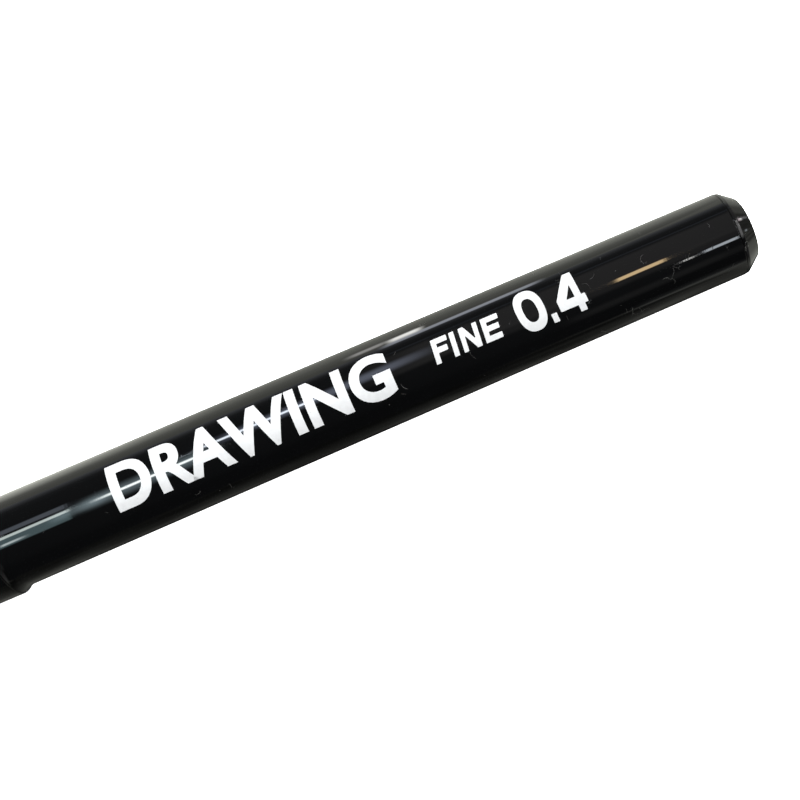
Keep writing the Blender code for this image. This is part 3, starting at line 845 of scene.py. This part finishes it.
def floor_brightness(tree, rays, place):
    """Painted reflection of the table: how bright mirrored rays see it, for each place and each direction it
    is mirrored in.
    """
    parts = add(tree, "SeparateXYZ", {"Vector": place})
    x, y = parts.outputs["X"], parts.outputs["Y"]

    # Painted shade on the -Y side of the table: lighter near the tail and the cap end, darkest close beside
    # the pen as a painted contact shadow.
    clouds = noise(tree, millimetres(tree), 0.06, 1.0)
    shade = maths(tree, "MULTIPLY", ranged(tree, y, -45 * MM, -7 * MM, 0.03, 0.10),
                  ranged(tree, clouds, 0.35, 0.65, 0.6, 1.5))
    for along, start, end, factor in [(x, -16, -2, 2.0), (x, -34, -24, 1.3), (x, -72, -84, 1.9),
                                      (y, -10, -6.5, 0.38)]:
        change = ranged(tree, along, start * MM, end * MM, 1.0, factor, smooth=True)
        shade = maths(tree, "MULTIPLY", shade, change)

    # Painted light on the +Y side of the table: brighter near both ends of the pen, dimmed close beside it
    # as painted contact shade, and streaked.
    cap_end = ranged(tree, x, -52 * MM, -84 * MM, 0.0, 1.6, smooth=True)
    tail_end = ranged(tree, x, -28 * MM, -14 * MM, 0.0, 0.5, smooth=True)
    near = ranged(tree, y, 6 * MM, 28 * MM, 1.0, 0.0, smooth=True)
    bright = maths(tree, "ADD", maths(tree, "MULTIPLY", maths(tree, "ADD", cap_end, tail_end), near), 1.0)
    bright = maths(tree, "MULTIPLY", bright, ranged(tree, y, 5 * MM, 14 * MM, 0.72, 1.0))
    reflection_streaks = noise(tree, millimetres(tree, (0.002, 0.05, 1.0)), 1.0, 3.0)
    bright = maths(tree, "MULTIPLY", bright, ranged(tree, reflection_streaks, 0.3, 0.7, 0.68, 0.86))

    # Painted glow on the table just past the tail, which the tail's chamfer mirrors.
    beyond_tail = maths(tree, "MAXIMUM", maths(tree, "ADD", x, 1 * MM), 0.0)
    bright_side = ranged(tree, maths(tree, "SUBTRACT", y, beyond_tail), -4 * MM, 4 * MM, smooth=True)
    past_tail = maths(tree, "MULTIPLY", ranged(tree, x, 1 * MM, 6 * MM, 0.0, 0.3, smooth=True),
                      ranged(tree, x, 25 * MM, 45 * MM, 1.0, 0.25, smooth=True))
    from_above = add(tree, "Mix", {0: bright_side, 2: shade, 3: bright}).outputs[0]
    from_above = maths(tree, "ADD", from_above, past_tail)

    heading = add(tree, "SeparateXYZ", {"Vector": add(tree, "NewGeometry").outputs["Incoming"]}).outputs
    along_pen = ranged(tree, maths(tree, "ABSOLUTE", heading["X"]), 0.42, 0.6, smooth=True)
    from_tail = ranged(tree, heading["X"], -0.7, -0.85, smooth=True)
    oblique = maths(tree, "MULTIPLY", along_pen, maths(tree, "SUBTRACT", 1.0, from_tail))
    start_height = maths(tree, "MULTIPLY", rays.outputs["Ray Length"], heading["Z"])
    underside = ranged(tree, start_height, 4.3 * MM, 3.0 * MM, smooth=True)
    plain = maths(tree, "MAXIMUM", oblique, underside)
    return add(tree, "Mix", {0: plain, 2: from_above, 3: 0.7}).outputs[0]


def build_floor():
    """Plain white table that touches the cap's rim and the tail's edge. For the camera its diffuse shading
    counts twice and it glows evenly, more the steeper it is seen; mirrored rays see its painted reflection
    instead of its shading.
    """
    slope = atan2(CAP_R - TAIL_R, SEAM_X - SHOULDER_X)
    mesh_data = bmesh.new()
    bmesh.ops.create_grid(mesh_data, x_segments=1, y_segments=1, size=3.0)
    mesh = bpy.data.meshes.new("table")
    mesh_data.to_mesh(mesh)
    mesh_data.free()
    floor = bpy.data.objects.new("table", mesh)
    touch = Vector((SHOULDER_X - 0.5, 0.0, -CAP_R)) * MM
    floor.matrix_world = Matrix.Translation(touch) @ Matrix.Rotation(-slope, 4, "Y")
    bpy.context.scene.collection.objects.link(floor)

    made, tree, shader = new_material("table_white")
    tree.nodes.remove(shader)
    rays = add(tree, "LightPath")
    geometry = add(tree, "NewGeometry")
    # Mirrored rays see only this painted reflection, as glow.
    mirrored = floor_brightness(tree, rays, geometry.outputs["Position"])
    glow = add(tree, "Emission", {"Color": grey(1.0, (1.0, 1.02, 0.92)), "Strength": mirrored})
    paper = noise(tree, millimetres(tree), 0.02, 2.0)
    soft = add(tree, "BsdfDiffuse", {"Color": mixed(tree, paper, grey(0.76), grey(0.80))})
    seen = add(tree, "BsdfDiffuse", {"Color": mixed(tree, paper, grey(0.93), grey(0.96))})
    view_height = add(tree, "SeparateXYZ", {"Vector": geometry.outputs["Incoming"]}).outputs["Z"]
    steep = ranged(tree, view_height, 0.7, 0.88, 0.25, 1.2, smooth=True)
    white = add(tree, "Emission", {"Color": grey(1.0), "Strength": steep})
    double = add(tree, "AddShader", {0: seen.outputs[0], 1: seen.outputs[0]})
    bright = add(tree, "AddShader", {0: double.outputs[0], 1: white.outputs[0]})
    for_camera = add(tree, "MixShader", {0: rays.outputs["Is Camera Ray"], 1: soft.outputs[0],
                                         2: bright.outputs[0]})
    for_gloss = add(tree, "MixShader", {0: rays.outputs["Is Glossy Ray"], 1: for_camera.outputs[0],
                                        2: glow.outputs[0]})
    tree.links.new(for_gloss.outputs[0], tree.nodes["Material Output"].inputs["Surface"])
    mesh.materials.append(made)


def build_world():
    """Even white light for the surfaces, white for the camera, and a dim room for what the gloss mirrors."""
    world = bpy.data.worlds.new("studio")
    world.use_nodes = True
    tree = world.node_tree
    tree.nodes.clear()
    rays = add(tree, "LightPath")
    heading = add(tree, "SeparateXYZ", {"Vector": add(tree, "TexCoord").outputs["Generated"]}).outputs
    turn = maths(tree, "ARCTAN2", heading["Y"], heading["Z"])
    ramp = add(tree, "ValToRGB", {"Fac": ranged(tree, turn, -pi, pi)})
    # Each level is what the barrel mirrors, seen from above, at that angle round it.
    room_levels = [(-50, 0.035), (-30, 0.04), (-22, 0.06), (-8, 0.07), (4, 0.08), (20, 0.09), (33, 0.10),
                   (38, 0.15), (42, 0.42), (45, 0.75)]
    elements = ramp.color_ramp.elements
    while len(elements) < len(room_levels):
        elements.new(0.5)
    for element, (surface_angle, level) in zip(elements, room_levels):
        element.position = 0.5 + surface_angle / 180
        element.color = grey(level, (0.96, 1.0, 1.08))
    along_pen = maths(tree, "ABSOLUTE", heading["X"])
    lean = maths(tree, "ABSOLUTE", turn)
    overhead = ranged(tree, lean, radians(30), radians(14), smooth=True)
    low_wall = ranged(tree, lean, radians(45), radians(88), 0.06, 0.42, smooth=True)
    studio = mixed(tree, overhead, low_wall, grey(2.2))
    end_wall = mixed(tree, ranged(tree, heading["Z"], 0.0, 0.5, smooth=True), grey(0.30), grey(0.06))
    room = mixed(tree, ranged(tree, along_pen, 0.42, 0.52, smooth=True), ramp.outputs["Color"], studio)
    room = mixed(tree, ranged(tree, along_pen, 0.78, 0.92, smooth=True), room, end_wall)
    lit = mixed(tree, rays.outputs["Is Glossy Ray"], grey(0.5), room)
    shown = mixed(tree, rays.outputs["Is Camera Ray"], lit, grey(1.6))
    back = add(tree, "Background", {"Color": shown, "Strength": 1.0})
    output = tree.nodes.new("ShaderNodeOutputWorld")
    tree.links.new(back.outputs[0], output.inputs["Surface"])
    bpy.context.scene.world = world


def card_material(name, colour, strength, soft):
    """Clear glow that fades towards the card's edges; soft gives the faded share along and across."""
    made, tree, shader = new_material(name)
    tree.nodes.remove(shader)
    parts = add(tree, "SeparateXYZ", {"Vector": add(tree, "TexCoord").outputs["UV"]})
    power = strength
    for axis, share in zip("XY", soft):
        from_middle = maths(tree, "ABSOLUTE", maths(tree, "SUBTRACT", parts.outputs[axis], 0.5))
        edge = maths(tree, "SUBTRACT", 0.5, from_middle)
        power = maths(tree, "MULTIPLY", power, ranged(tree, edge, 0.0, 0.5 * share, smooth=True))
    glow = add(tree, "Emission", {"Color": (*colour, 1.0), "Strength": power})
    clear = add(tree, "BsdfTransparent")
    layered = add(tree, "AddShader", {0: glow.outputs[0], 1: clear.outputs[0]})
    tree.links.new(layered.outputs[0], tree.nodes["Material Output"].inputs["Surface"])
    return made


def gloss_only(card):
    """Show a light card only in mirrored rays."""
    card.visible_camera = False
    card.visible_diffuse = False
    card.visible_transmission = False
    card.visible_volume_scatter = False
    card.visible_shadow = False


def grid_card(name, points, columns, material):
    """Add a card from rows of points, with UVs from 0 to 1 along and across."""
    rows = len(points) // columns
    mesh = bpy.data.meshes.new(name)
    faces = []
    for row in range(rows - 1):
        for column in range(columns - 1):
            first = row * columns + column
            faces.append((first, first + 1, first + 1 + columns, first + columns))
    mesh.from_pydata(points, [], faces)
    layer = mesh.uv_layers.new(name="UVMap")
    for loop in mesh.loops:
        row, column = divmod(loop.vertex_index, columns)
        layer.data[loop.index].uv = (column / (columns - 1), row / (rows - 1))
    mesh.materials.append(material)
    card = bpy.data.objects.new(name, mesh)
    bpy.context.scene.collection.objects.link(card)
    gloss_only(card)


def mirrored_card(name, stations, angles, colour, strength, soft=(0.3, 0.5), reach=300.0):
    """Hang a light card where the camera sees it mirrored at these stations and angles on the pen."""
    columns, rows = 9, 7
    points = []
    for row in range(rows):
        for column in range(columns):
            along = column / (columns - 1)
            angle = radians(angles[0] + (angles[1] - angles[0]) * row / (rows - 1))
            x = stations[0] + (stations[1] - stations[0]) * along
            on_chamfer = x > CHAMFER_X
            r = chamfer_radius(x) if on_chamfer else barrel_radius(x)
            lean = CHAMFER_SLOPE if on_chamfer else BARREL_SLOPE
            outward = Vector((0.0, sin(angle), cos(angle)))
            place = (Vector((x, 0.0, 0.0)) + outward * r) * MM
            normal = (outward + Vector((lean, 0.0, 0.0))).normalized()
            sight = (place - CAMERA_PLACE).normalized()
            bounce = sight - 2 * sight.dot(normal) * normal
            points.append(place + bounce * reach * MM)
    grid_card(name, points, columns, card_material(name, colour, strength, soft))


def softbox(name, towards, width, height, strength):
    """Big soft card that faces the pen from a direction, for highlights seen from other sides."""
    distance = 700.0
    direction = Vector(towards).normalized()
    side = direction.cross(Vector((0.0, 0.0, 1.0))).normalized()
    up = side.cross(direction)
    centre = Vector((SHOULDER_X, 0.0, 0.0)) + direction * distance
    points = []
    for row in (-0.5, 0.5):
        for column in (-0.5, 0.5):
            points.append((centre + side * width * column + up * height * row) * MM)
    grid_card(name, points, 2, card_material(name, (1.0, 0.99, 0.97), strength, (0.5, 0.5)))


def build_cards():
    """Light cards seen only in mirrored rays, which paint highlights and reflections on the pen; each is
    named for the window, lamp or bright thing round the table that it stands in for.
    """
    daylight = (0.62, 0.93, 1.0)
    cool = (0.85, 0.92, 1.0)
    teal = (0.72, 0.92, 1.0)
    neutral = (1.0, 0.99, 0.97)
    # Each card below is a painted highlight or reflection on the pen, placed at the stations and angles
    # given.
    mirrored_card("window_top", (-88.0, -72.1), (16.5, 10.0), (0.75, 0.85, 1.0), 1.8, (0.06, 0.5))
    mirrored_card("window", (-88.0, -72.1), (9.3, -4.6), daylight, 2.0, (0.03, 0.25))
    mirrored_card("window_bar", (-88.0, -72.1), (9.0, 5.0), (0.92, 1.0, 0.95), 10.5, (0.04, 0.55))
    mirrored_card("window_sill", (-86.0, -76.8), (0.8, -2.6), (0.92, 1.0, 1.0), 9.0, (0.35, 0.7))
    mirrored_card("window_gap", (-75.0, -67.5), (12.0, -3.0), teal, 2.0, (0.5, 0.9))
    mirrored_card("tube_one", (-70.4, -55.8), (7.6, 3.2), (0.95, 1.0, 0.98), 26.0, (0.5, 0.9))
    mirrored_card("tube_one_glow", (-72.3, -55.1), (15.8, -5.8), teal, 3.2, (0.4, 1.0))
    mirrored_card("tube_two", (-58.8, -44.3), (15.4, 11.4), cool, 24.0, (0.3, 0.9))
    mirrored_card("tube_two_glow", (-59.3, -30.8), (21.0, 6.0), (0.70, 0.78, 1.0), 2.8, (0.6, 0.9))
    mirrored_card("ceiling", (-45.3, 8.3), (29.5, -2.0), (1.0, 0.96, 0.95), 0.27, (0.5, 0.35))
    mirrored_card("ceiling_low", (-34.0, 6.3), (4.5, -10.0), (1.0, 0.96, 0.95), 0.18, (0.6, 0.8))
    mirrored_card("ceiling_edge", (-39.1, 6.3), (31.2, 28.6), (0.7, 0.8, 1.0), 0.28, (0.15, 0.8))
    mirrored_card("lamp", (-14.3, -9.2), (3.7, -1.3), (1.0, 0.72, 0.38), 13.0, (0.05, 0.4))
    mirrored_card("spot_one", (-7.7, -6.6), (-8.2, -11.0), neutral, 12.0, (0.25, 0.5))
    mirrored_card("spot_two", (-5.5, -1.9), (-7.0, -11.2), cool, 9.0, (0.12, 0.5))
    mirrored_card("shelf_reflection", (-38.3, -20.0), (46.8, 40.6), (0.82, 0.88, 1.0), 4.2, (0.25, 0.6), 60.0)
    mirrored_card("cup_rim_reflection", (-41.9, -35.9), (55.0, 46.0), neutral, 3.0, (0.7, 0.9), 12.0)
    mirrored_card("cup", (-37.3, -32.7), (53.6, 44.2), (1.0, 1.0, 0.97), 12.0, (0.6, 0.8), 12.0)
    mirrored_card("table_edge_reflection", (-21.4, -0.7), (-17.0, -30.0), (1.0, 0.98, 0.95), 0.12, (0.4, 0.9))
    mirrored_card("table_things_reflection", (-15.0, 3.3), (-38.0, -56.0), (0.95, 1.0, 0.98), 0.17, (0.4, 1.0), 60.0)
    mirrored_card("glint_warm", (-1.39, -1.05), (16.0, 9.0), (1.0, 0.85, 0.9), 5.0, (0.5, 0.8), 25.0)
    mirrored_card("glint_white", (-1.15, -0.8), (16.5, 9.5), neutral, 8.0, (0.6, 0.8), 25.0)
    mirrored_card("glint_long", (-1.0, -0.1), (17.0, 11.0), cool, 1.2, (0.6, 0.8), 25.0)
    mirrored_card("glint_low", (-1.1, -0.75), (-3.0, -7.5), cool, 2.5, (0.6, 0.8), 25.0)
    for side in (-1, 1):
        number = side + 2
        softbox("pane_tail_%d" % number, (0.68, 0.10 * side + 0.25, 0.62), 90.0, 260.0, 4.5)
        softbox("pane_cap_%d" % number, (-0.70, 0.14 * side, 0.62), 130.0, 300.0, 1.5)


def build_lamp():
    """Large overhead lamp that lights the print; the gloss doesn't mirror it."""
    data = bpy.data.lights.new("overhead", "AREA")
    data.shape = "DISK"
    data.size = 0.5
    data.energy = 2.9
    lamp = bpy.data.objects.new("overhead", data)
    place = Vector((-60.0, 360.0, 430.0)) * MM
    target = Vector((SHOULDER_X / 2, 0.0, 0.0)) * MM
    lamp.location = place
    lamp.rotation_mode = "QUATERNION"
    lamp.rotation_quaternion = (target - place).to_track_quat("-Z", "Y")
    lamp.visible_glossy = False
    bpy.context.scene.collection.objects.link(lamp)


build_floor()
build_world()
build_cards()
build_lamp()
bpy.context.scene.view_settings.view_transform = "Standard"
